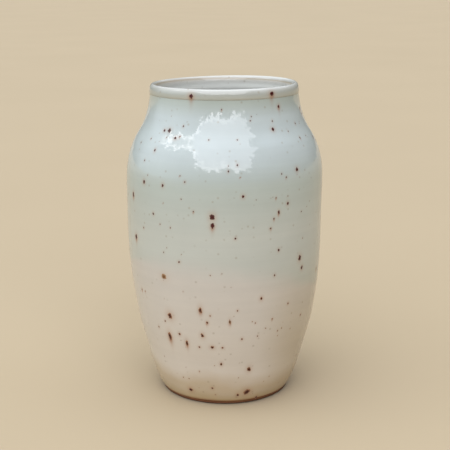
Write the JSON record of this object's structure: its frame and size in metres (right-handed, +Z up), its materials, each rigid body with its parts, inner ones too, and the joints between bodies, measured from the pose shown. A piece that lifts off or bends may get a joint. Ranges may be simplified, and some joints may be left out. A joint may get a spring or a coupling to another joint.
{
  "type": "stoneware vase",
  "caption": "Wheel-thrown stoneware vase: swelling body, round shoulder, short neck and rounded lip, pale glossy glaze with iron specks.",
  "frame": {"origin": "middle of the foot, on the surface that the vase stands on", "axes": "+Z up along the turning axis; -Y is the front"},
  "size_m": [0.1098, 0.1098, 0.175],
  "materials": {
    "clay": "unglazed stoneware, toasted where the glaze ends, fine grit",
    "outer_glaze": "glossy translucent glaze, cool white above and warm oatmeal below",
    "liner_glaze": "glossy warm white glaze",
    "iron": "melted iron oxide, dark red-brown, glossy"
  },
  "bodies": {
    "root": {"clay_body": "clay", "outer_glaze": "outer_glaze", "liner_glaze": "liner_glaze", "iron_grain_01": "iron", "iron_grain_02": "iron", "iron_grain_03": "iron", "iron_grain_04": "iron", "iron_grain_05": "iron", "iron_grain_06": "iron", "iron_grain_07": "iron", "iron_grain_08": "iron", "iron_grain_09": "iron", "iron_grain_10": "iron", "iron_grain_11": "iron", "iron_grain_12": "iron", "iron_grain_13": "iron", "iron_grain_14": "iron", "iron_grain_15": "iron", "iron_grain_16": "iron", "iron_grain_17": "iron", "iron_grain_18": "iron", "iron_grain_19": "iron", "iron_grain_20": "iron", "iron_grain_21": "iron", "iron_grain_22": "iron", "iron_grain_23": "iron", "iron_grain_24": "iron", "iron_grain_25": "iron", "iron_grain_26": "iron", "iron_grain_27": "iron", "iron_grain_28": "iron", "iron_grain_29": "iron", "iron_grain_30": "iron", "iron_grain_31": "iron", "iron_grain_32": "iron"}
  },
  "joints": []
}
